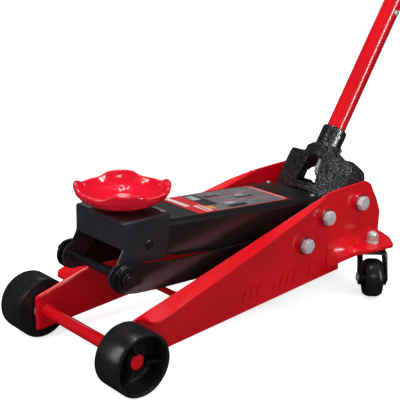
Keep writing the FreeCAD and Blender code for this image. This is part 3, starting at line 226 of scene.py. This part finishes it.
def zinc(name, tint=(0.80, 0.82, 0.83), rough=0.28, metal=0.55):
    """Bright zinc plate with a cloudy passivated tint and fine tool marks."""
    g = Graph(name)
    rounded = g.round_edge(0.0008)
    cloud = g.noise(scale=90.0, detail=4.0, rough=0.6)
    cloudy = (tint[0] * 0.72, tint[1] * 0.74, tint[2] * 0.80)
    col = g.mix(g.ramp(cloud, start=0.35, end=0.7), tint, cloudy)
    stain = g.patches(scale=240.0, detail=5.0, rough=0.7, start=0.58, end=0.72)
    col = g.mix(g.mul(stain, 0.35), col, (0.30, 0.28, 0.25))
    marks = g.bump(g.noise(scale=900.0, detail=2.0), strength=0.12, distance=0.0002,
                   normal=rounded)
    uneven = g.ramp(cloud, start=0.3, end=0.7, low=rough - 0.06, high=rough + 0.14)
    return g.set(Base_Color=col, Metallic=metal, Roughness=uneven, Normal=marks,
                 Specular_IOR_Level=0.8)


def polymer(name, base, light):
    """Moulded wheel: satin sheen, fine mould grain, scuffs and paler edges."""
    g = Graph(name)
    mask, rounded = g.edge_mask(0.0010)
    cloud = g.noise(scale=26.0, detail=5.0, rough=0.6)
    col = g.mix(g.ramp(cloud, start=0.4, end=0.75), base, light)
    scuff = g.patches(scale=150.0, detail=6.0, rough=0.75, dist=1.2, start=0.57, end=0.72)
    col = g.mix(g.mul(scuff, 0.22), col, (0.12, 0.12, 0.12))
    col = g.mix(g.mul(mask, 0.22), col, (0.16, 0.17, 0.19))
    grain = g.bump(g.noise(scale=1400.0, detail=2.0), strength=0.10, distance=0.0002,
                   normal=rounded)
    wave = g.bump(g.noise(scale=60.0), strength=0.05, distance=0.0008, normal=grain)
    uneven = g.ramp(cloud, start=0.3, end=0.7, low=0.24, high=0.38)
    return g.set(Base_Color=col, Roughness=uneven, Normal=wave, Specular_IOR_Level=0.30,
                 Coat_Weight=0.10, Coat_Roughness=0.22)


def rubber(name, base):
    """Matt rubber with a grey bloom."""
    g = Graph(name)
    rounded = g.round_edge(0.0008)
    bloom = g.patches(scale=70.0, detail=4.0, rough=0.6, start=0.45, end=0.75)
    col = g.mix(g.mul(bloom, 0.4), base, (0.06, 0.058, 0.055))
    grain = g.bump(g.noise(scale=1100.0, rough=0.6), strength=0.35, distance=0.0004,
                   normal=rounded)
    return g.set(Base_Color=col, Roughness=0.62, Normal=grain, Specular_IOR_Level=0.35,
                 Sheen_Weight=0.15, Sheen_Roughness=0.4)


def turned(name, base, rough=0.25, axis="Y", lay=2600.0):
    """Machined metal with lathe lines across its axis; lay is their density."""
    g = Graph(name)
    rounded = g.round_edge(0.0006)
    stretched = g.stretch(tuple(lay if letter == axis else 60 for letter in "XYZ"))
    lines = g.noise(scale=1.0, detail=2.0, vec=stretched)
    cloud = g.patches(scale=45.0, detail=4.0, rough=0.6, start=0.3, end=0.75)
    col = g.mix(cloud, base, tuple(c * 0.72 for c in base))
    cut = g.bump(lines, strength=0.18, distance=0.00015, normal=rounded)
    uneven = g.ramp(lines, start=0.3, end=0.7, low=rough - 0.05, high=rough + 0.12)
    return g.set(Base_Color=col, Metallic=1.0, Roughness=uneven, Normal=cut)


def printed_plate(name):
    """Printed plate: plain colour bands and ruled panels, no lettering."""
    g = Graph(name)
    x, y, _ = g.split()
    lo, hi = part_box("arm_label")
    # u runs from the front of the plate to the back, v from -Y to +Y.
    u = g.ramp(x, lo.x, hi.x, kind="LINEAR")
    v = g.ramp(y, lo.y, hi.y, kind="LINEAR")
    grey, red, white = (0.22, 0.225, 0.235), (0.72, 0.004, 0.012), (0.80, 0.79, 0.78)

    def band(coord, start, end):
        return g.mul(g.math("GREATER_THAN", coord, start), g.math("LESS_THAN", coord, end))

    def panels(col, colour, *rects):
        """Rectangles, each (u start, u end, v start, v end)."""
        for u0, u1, v0, v1 in rects:
            col = g.mix(g.mul(band(u, u0, u1), band(v, v0, v1)), col, colour)
        return col

    col = g.mix(1.0, grey, grey)
    # Dark ruled lines with ragged ends: 15 to the width.
    rules = g.math("GREATER_THAN", g.math("FRACT", g.mul(v, 15.0)), 0.62)
    streaks = g.noise(scale=34.0, detail=1.0, vec=g.stretch((1.0, 9.0, 1.0)))
    ragged = g.math("GREATER_THAN", streaks, 0.42)
    ruled = g.mul(g.mul(rules, ragged), band(u, 0.22, 0.95))
    col = g.mix(ruled, col, (0.045, 0.045, 0.05))
    col = panels(col, (0.018, 0.018, 0.02),
                 (0.20, 0.34, 0.30, 0.94), (0.36, 0.56, 0.05, 0.20),
                 (0.36, 0.52, 0.70, 0.80), (0.60, 0.80, 0.44, 0.52))
    col = panels(col, (0.42, 0.43, 0.44),
                 (0.22, 0.30, 0.66, 0.90), (0.40, 0.50, 0.24, 0.34),
                 (0.66, 0.74, 0.58, 0.66))
    col = panels(col, red, (0.34, 0.93, 0.36, 0.378), (0.34, 0.93, 0.68, 0.698))
    # Front band: red, two white bars, a red bar and an amber flash.
    col = g.mix(band(u, 0.0, 0.20), col, red)
    col = panels(col, white, (0.035, 0.085, 0.42, 0.97), (0.10, 0.165, 0.05, 0.40))
    col = panels(col, (0.75, 0.02, 0.02), (0.12, 0.145, 0.08, 0.37))
    col = panels(col, (0.80, 0.33, 0.04), (0.17, 0.24, 0.14, 0.30))
    # Rear band with a pale bar, then a red line down both sides.
    col = g.mix(band(u, 0.955, 1.0), col, red)
    col = panels(col, (0.85, 0.42, 0.42), (0.968, 0.986, 0.06, 0.94))
    sides = g.math("MAXIMUM", g.math("LESS_THAN", v, 0.012),
                   g.math("GREATER_THAN", v, 0.988))
    col = g.mix(sides, col, red)
    dirt = g.patches(scale=60.0, detail=5.0, rough=0.7, start=0.55, end=0.75)
    col = g.mix(g.mul(dirt, 0.10), col, (0.3, 0.29, 0.27))
    grain = g.bump(g.noise(scale=300.0), strength=0.05, distance=0.0003)
    return g.set(Base_Color=col, Roughness=0.28, Normal=grain, Coat_Weight=0.6,
                 Coat_Roughness=0.12)


PRIMER = (0.35, 0.34, 0.33)  # shows where dark enamel is chipped
MATERIALS = {
    "red": enamel("red_enamel", base=(0.78, 0.002, 0.010), deep=(0.66, 0.001, 0.009),
                  coat=0.5, wear=0.35, dusty=0.01),
    "saddle": enamel("saddle_enamel", base=(0.80, 0.003, 0.026), deep=(0.70, 0.0025, 0.020),
                     rough=0.18, coat=0.9, peel=0.07, edge=0.002, wear=0.2, dusty=0.02),
    # Painted shade: a darkened red, so the hidden pump block reads like the shaded inside of
    # the side plates.
    "pump_red": enamel("pump_enamel_painted_shade", base=(0.22, 0.004, 0.008), deep=(0.13, 0.003, 0.006),
                       rough=0.35, coat=0.4, peel=0.25, wear=0.6, dusty=0.12),
    "black": enamel("black_enamel", base=(0.008, 0.008, 0.0095), deep=(0.005, 0.005, 0.006),
                    rough=0.30, coat=0.28, peel=0.06, chip=PRIMER, wear=0.5, dusty=0.02),
    # Painted shade: a darkened copy of the red enamel, so the washers read as shaded rings
    # behind the bolt heads.
    "washer": enamel("washer_enamel_painted_shade", base=(0.30, 0.002, 0.006), deep=(0.16, 0.001, 0.004),
                     rough=0.30, coat=0.5, peel=0.2, edge=0.0016, chip=(0.6, 0.6, 0.6),
                     wear=0.6, dusty=0.01),
    # Painted shade: a darker copy of the black enamel, so the links stay as dark as parts in
    # shadow.
    "link": enamel("link_enamel_painted_shade", base=(0.0045, 0.0042, 0.0048), deep=(0.003, 0.003, 0.0035),
                   rough=0.32, coat=0.2, peel=0.06, chip=PRIMER, wear=0.5, dusty=0.006),
    # Painted light: a lighter, bluer copy of the black enamel, so the head's front face
    # reads as lit.
    "head": enamel("head_enamel_painted_light", base=(0.021, 0.019, 0.026), deep=(0.014, 0.013, 0.018),
                   rough=0.30, coat=0.7, peel=0.08, chip=PRIMER, wear=0.6, dusty=0.05),
    "hammer": hammered("hammered_black", base=(0.006, 0.006, 0.008)),
    "zinc": zinc("zinc_plate"),
    "bolt": zinc("bolt_zinc", tint=(0.92, 0.93, 0.94), rough=0.24, metal=0.35),
    "steel": turned("ground_steel", base=(0.42, 0.42, 0.43)),
    "chrome": turned("hard_chrome", base=(0.72, 0.73, 0.75), rough=0.12, axis="X"),
    "chrome_z": turned("plunger_chrome", base=(0.72, 0.73, 0.75), rough=0.14, axis="Z"),
    "bronze": turned("turned_bronze", base=(0.50, 0.33, 0.13), rough=0.34),
    "spring": turned("oiled_spring", base=(0.20, 0.20, 0.21), rough=0.38, lay=800.0),
    "dark_ring": turned("blued_ring", base=(0.05, 0.05, 0.055), rough=0.35, lay=900.0),
    "wheel": polymer("wheel_polymer", base=(0.008, 0.008, 0.009),
                     light=(0.013, 0.0135, 0.016)),
    "rubber": rubber("matt_rubber", base=(0.018, 0.018, 0.019)),
    "decal": printed_plate("printed_plate"),
}

# Material key: the CAD pieces that wear it.
WEARERS = {
    "red": """side_plate_left side_plate_right front_axle cross_brace pivot_spacers
        power_unit_mounts handle_lower_tube handle_upper_tube""",
    "saddle": "saddle",
    "pump_red": "pump_block",
    "black": """ram_barrel lift_arm head_upper_pin head_cross_rod head_retaining_rings
        caster_fork_left caster_fork_right""",
    "washer": "pivot_washers",
    "link": "link_left link_right",
    "head": "saddle_head",
    "hammer": "handle_yoke",
    "zinc": """wheel_washers caster_nuts pump_gland release_valve_gland overload_valve_plug
        arm_rear_rivets handle_retaining_bolt release_valve_spindle handle_button
        handle_valve_shaft caster_axle_left caster_axle_right""",
    "bolt": "arm_pivot_bolts link_pivot_bolts yoke_pivot_bolts",
    "steel": """arm_pivot_shaft caster_stems caster_bearings ram_gland_nut ram_pin
        roller_pin pump_roller""",
    "chrome": "ram_rod",
    "chrome_z": "pump_plunger",
    "bronze": "yoke_bushes",
    "spring": "pump_spring return_springs saddle_clip",
    "dark_ring": "axle_retaining_rings",
    "wheel": "front_wheel_left front_wheel_right caster_wheel_left caster_wheel_right",
    "rubber": "oil_filler_plug ram_seal handle_grip handle_end_cap",
    "decal": "arm_label",
}
FINISH = {piece: key for key, pieces in WEARERS.items() for piece in pieces.split()}


# ----------------------------------------------------------- CAD piece surfaces
def weld(obj):
    obj.modifiers.new("weld", "WELD").merge_threshold = 0.00001


def smooth(obj):
    """Soft shading on curves, crisp breaks on real corners."""
    weld(obj)
    for face in obj.data.polygons:
        face.use_smooth = True
    # A loaded piece may already bring its own split.
    if obj.modifiers.get("sharp") is None:
        split = obj.modifiers.new("sharp", "EDGE_SPLIT")
        split.split_angle = math.radians(35.0)
        split.use_edge_sharp = False


def cast(obj, voxel, rounds, rough, lump):
    """Foundry skin: the solid resampled, corners eased and faces slightly uneven."""
    weld(obj)
    remesh = obj.modifiers.new("resample", "REMESH")
    remesh.mode = "VOXEL"
    remesh.voxel_size = voxel
    remesh.use_smooth_shade = True
    ease = obj.modifiers.new("ease", "SMOOTH")
    ease.factor = 0.5
    ease.iterations = rounds
    for label, size, strength in (("skin", lump, rough), ("grain", lump * 0.3, rough * 0.4)):
        clouds = bpy.data.textures.new(obj.name + "_" + label, "CLOUDS")
        clouds.noise_scale = size
        clouds.noise_depth = 2
        displace = obj.modifiers.new(label, "DISPLACE")
        displace.texture = clouds
        displace.texture_coords = "LOCAL"
        displace.strength = strength
        displace.mid_level = 0.55


CAST = {
    "saddle": dict(voxel=0.0011, rounds=5, rough=0.0009, lump=0.011),
    "handle_yoke": dict(voxel=0.0014, rounds=5, rough=0.0009, lump=0.006),
}
for name, obj in nodes.items():
    obj.data.materials.clear()
    obj.data.materials.append(MATERIALS[FINISH[name]])
    if name in CAST:
        cast(obj, **CAST[name])
    else:
        smooth(obj)


# ---------------------------------------------------------------- mesh helpers
def sweep(path, radii, sides):
    """Round bar along a list of points, with rings carried along the path."""
    count = len(path)
    verts, faces = [], []
    side = None
    for i, (point, radius) in enumerate(zip(path, radii)):
        tangent = (path[min(i + 1, count - 1)] - path[max(i - 1, 0)]).normalized()
        if side is None:
            side = tangent.orthogonal().normalized()
        side = (side - tangent * side.dot(tangent)).normalized()
        up = tangent.cross(side)
        for k in range(sides):
            a = 2 * math.pi * k / sides
            verts.append(point + (side * math.cos(a) + up * math.sin(a)) * radius)
    for i in range(count - 1):
        ring, after = i * sides, (i + 1) * sides
        for k in range(sides):
            j = (k + 1) % sides
            faces.append((ring + k, ring + j, after + j, after + k))
    faces.append(tuple(range(sides - 1, -1, -1)))
    faces.append(tuple((count - 1) * sides + k for k in range(sides)))
    return verts, faces


def rod(start, end, radius, sides=24):
    """Closed round bar between two points, with its ends broken slightly."""
    span = end - start
    along = span.normalized()
    ease = min(0.5 * MM, span.length * 0.2)
    steps = 8
    path = [start, start + along * ease]
    path += [start + span * (i / steps) for i in range(1, steps)]
    path += [end - along * ease, end]
    tip = radius * 0.85
    return sweep(path, [tip] + [radius] * (len(path) - 2) + [tip], sides)


def helix(start, along, side, radius, length, turns, steps):
    """Points of a coil, steps to the turn."""
    up = along.cross(side)
    points = []
    count = int(turns * steps)
    for i in range(count + 1):
        a = 2 * math.pi * turns * i / count
        spoke = (side * math.cos(a) + up * math.sin(a)) * radius
        points.append(start + along * (length * i / count) + spoke)
    return points


def lug(base, along, offset, width, thick, length):
    """Flat ear of a cross joint, standing off the end of a shaft."""
    out = offset.normalized()
    across = along.cross(out)
    verts = []
    for a in (0.0, length):
        for b in (-thick / 2, thick / 2):
            for c in (-width / 2, width / 2):
                verts.append(base + offset + along * a + out * b + across * c)
    return verts, [(0, 1, 3, 2), (4, 6, 7, 5), (0, 4, 5, 1),
                   (2, 3, 7, 6), (0, 2, 6, 4), (1, 5, 7, 3)]


def piece(name, parts, material, slot_name):
    verts, faces = [], []
    for part_verts, part_faces in parts:
        first = len(verts)
        verts += part_verts
        faces += [tuple(i + first for i in face) for face in part_faces]
    mesh = bpy.data.meshes.new(name)
    mesh.from_pydata([tuple(v) for v in verts], [], faces)
    mesh.validate()
    bm = bmesh.new()
    bm.from_mesh(mesh)
    bmesh.ops.recalc_face_normals(bm, faces=bm.faces)
    bm.to_mesh(mesh)
    bm.free()
    for face in mesh.polygons:
        face.use_smooth = len(face.vertices) == 4
    mesh.materials.append(MATERIALS[material])
    obj = add_object(name, mesh)
    return obj


# ------------------------------------------------- springs and the release shaft, built as meshes
def return_springs():
    """Per side: a hook round the ram pin, a coil, a tail into the pump block."""
    hook_x, hook_z, hook_radius, hook_turn = 435.6, 89.2, 9.5, 250.0
    coil_z = 91.5
    parts = []
    for y in (-40.6, 40.6):
        path = []
        for i in range(15):
            a = math.radians(hook_turn - hook_turn * i / 14)
            path.append(place(hook_x + hook_radius * math.cos(a), y,
                              hook_z + hook_radius * math.sin(a)))
        path += helix(place(447.0, y, coil_z), X, Z, radius=4.4 * MM, length=50.0 * MM,
                      turns=13.0, steps=18)
        path += [place(498.6, y, 95.0), place(499.2, y, 92.5), place(499.9, y, 91.6)]
        parts.append(sweep(path, [1.15 * MM] * len(path), sides=8))
    obj = piece("return_spring_coils", parts, "spring", "spring_steel")
    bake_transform(obj)
    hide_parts("return_springs")


def pump_spring():
    """Upright coil round the pump plunger."""
    x, y = 525.0, 40.0
    coil = helix(place(x, y, 130.2), Z, X, radius=9.6 * MM, length=15.3 * MM,
                 turns=4.0, steps=28)
    wire = sweep(coil, [0.95 * MM] * len(coil), sides=8)
    obj = piece("pump_spring_coil", [wire], "spring", "spring_steel")
    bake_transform(obj)
    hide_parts("pump_spring")


def release_shaft():
    """Telescoping shaft with a cross joint at each end, from the release spindle
    up to the square shaft inside the handle."""
    low, high = place(510.0, 0, 149.6), place(503.6, 0, 196.9)
    up = (high - low).normalized()
    fore = up.cross(Y)
    inset = 9.0 * MM       # shaft end from the joint's outer face
    pin_inset = 4.3 * MM   # cross pins from the same face
    collar = 2.6 * MM
    ends = ((low, up), (high, -up))  # outer face of each joint, direction inwards
    parts = [
        rod(low + up * inset, low + up * 29.0 * MM, radius=5.2 * MM),
        rod(low + up * 22.0 * MM, high - up * inset, radius=3.7 * MM),
    ]
    for face, inward in ends:
        cross = face + inward * pin_inset
        for reach in (Y * 6.0 * MM, fore * 5.2 * MM):
            parts.append(rod(cross - reach, cross + reach, radius=1.9 * MM, sides=14))
    parts.append(rod(low, low + up * collar, radius=5.4 * MM))
    parts.append(rod(high - up * collar, high, radius=5.2 * MM))
    for side in (-1, 1):
        for face, inward in ends:
            parts.append(lug(face + inward * 2.0 * MM, inward, Y * 4.6 * MM * side,
                             width=5.5 * MM, thick=1.5 * MM, length=4.6 * MM))
            parts.append(lug(face + inward * 10.0 * MM, -inward, fore * 4.2 * MM * side,
                             width=5.0 * MM, thick=1.5 * MM, length=7.8 * MM))
    obj = piece("release_universal_shaft", parts, "zinc", "zinc")
    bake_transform(obj)


return_springs()
pump_spring()
release_shaft()

# ---------------------------------------------------------------------- lights
# Name, place, target, width, height, watts. Sides are as the camera sees them.
MATT_LIGHTS = (  # light surfaces without showing in reflections
    ("key_top", (0.15, -0.3, 2.3), (0, 0, 0.1), 1.7, 1.2, 38.0),
    ("key_left", (-2.2, 0.2, 1.4), (0, 0, 0.15), 1.2, 0.9, 17.0),
    ("fill_front", (-1.1, -2.4, 0.9), (0, 0, 0.15), 1.5, 0.9, 7.0),
)
REFLECTED_LIGHTS = (  # seen only in reflections: they draw the highlights
    ("strip_right", (0.45, -2.3, 1.15), (0.15, 0, 0.35), 0.16, 1.9, 44.0),
    ("strip_left", (-2.3, 0.55, 1.2), (-0.2, 0, 0.2), 0.22, 1.6, 20.0),
    ("panel_back", (1.1, 1.9, 1.3), (0, 0, 0.15), 1.1, 0.5, 1.8),
    ("glint", (-1.35, -1.75, 1.25), (0, 0, 0.15), 0.4, 0.25, 5.0),
    ("panel_over", (-0.3, 0.1, 2.4), (-0.1, 0, 0.1), 0.9, 0.35, 16.0),
)
for table in (MATT_LIGHTS, REFLECTED_LIGHTS):
    for name, location, target, width, height, watts in table:
        light = bpy.data.lights.new(name, "AREA")
        light.shape = "RECTANGLE"
        light.size = width
        light.size_y = height
        light.energy = watts
        obj = add_object(name, light)
        obj.location = location
        aim = Vector(target) - Vector(location)
        obj.rotation_euler = aim.to_track_quat("-Z", "Y").to_euler()
        obj.visible_diffuse = table is MATT_LIGHTS
        obj.visible_glossy = table is REFLECTED_LIGHTS
        obj.visible_camera = False


# ------------------------------------------------------------- floor and world
def floor_white():
    """White to the camera, mid grey to matt surfaces, dim to glossy ones."""
    g = Graph("floor_white")
    ray = g.node("ShaderNodeLightPath").outputs
    col = g.mix(g.patches(scale=2.0, start=0.3, end=0.7), (0.80, 0.80, 0.80),
                (0.78, 0.78, 0.785))
    col = g.mix(ray["Is Diffuse Ray"], col, (0.46, 0.455, 0.455))
    col = g.mix(ray["Is Glossy Ray"], col, (0.03, 0.03, 0.03))
    return g.set(Base_Color=col, Roughness=0.9, Specular_IOR_Level=0.05,
                 Emission_Color=(1.0, 1.0, 1.0),
                 Emission_Strength=g.mul(ray["Is Camera Ray"], 0.72))


def add_floor():
    half, z = 30, -0.0005  # just under the wheels
    material = floor_white()
    mesh = bpy.data.meshes.new("floor")
    corners = [(-half, -half, z), (half, -half, z), (half, half, z), (-half, half, z)]
    mesh.from_pydata(corners, [], [(0, 1, 2, 3)])
    mesh.materials.append(material)
    add_object("floor", mesh)


def add_world():
    """White surroundings, with a strength for each kind of ray."""
    matt, camera, glossy = 0.46, 1.05, 0.05
    world = bpy.data.worlds.new("studio")
    bpy.context.scene.world = world
    world.use_nodes = True
    tree = world.node_tree
    tree.nodes.clear()
    output = tree.nodes.new("ShaderNodeOutputWorld")
    background = tree.nodes.new("ShaderNodeBackground")
    ray = tree.nodes.new("ShaderNodeLightPath").outputs
    background.inputs[0].default_value = (1, 1, 1, 1)

    def combine(operation, a, b):
        node = tree.nodes.new("ShaderNodeMath")
        node.operation = operation
        for socket, value in zip(node.inputs, (a, b)):
            if hasattr(value, "links"):
                tree.links.new(value, socket)
            else:
                socket.default_value = value
        return node.outputs[0]

    level = matt
    for kind, strength in (("Is Camera Ray", camera), ("Is Glossy Ray", glossy)):
        level = combine("ADD", level, combine("MULTIPLY", ray[kind], strength - matt))
    tree.links.new(level, background.inputs[1])
    tree.links.new(background.outputs[0], output.inputs[0])


# ---------------------------------------------------------------------- camera
def add_camera():
    """Long lens from the front, on the -Y side, looking slightly down."""
    yaw, pitch, roll = math.radians(42.79), math.radians(17.29), math.radians(1.28)
    camera = bpy.data.cameras.new("camera")
    obj = add_object("camera", camera)
    ahead = Vector((math.sin(yaw) * math.cos(pitch), math.cos(yaw) * math.cos(pitch),
                    -math.sin(pitch)))
    right = Vector((math.cos(yaw), -math.sin(yaw), 0))
    up = right.cross(ahead)
    rolled_right = math.cos(roll) * right + math.sin(roll) * up
    rolled_up = -math.sin(roll) * right + math.cos(roll) * up
    turn = Matrix((rolled_right, rolled_up, -ahead)).transposed().to_4x4()
    obj.matrix_world = Matrix.Translation(place(-667.53, -958.65, 607.10)) @ turn
    camera.sensor_width = 36.0
    camera.lens = 80.4006
    camera.shift_x = 0.0074
    camera.shift_y = -0.0071
    camera.clip_start = 0.01
    camera.clip_end = 200.0
    scene = bpy.context.scene
    scene.camera = obj
    scene.view_settings.view_transform = "Standard"
    scene.view_settings.look = "None"


add_floor()
add_world()
add_camera()
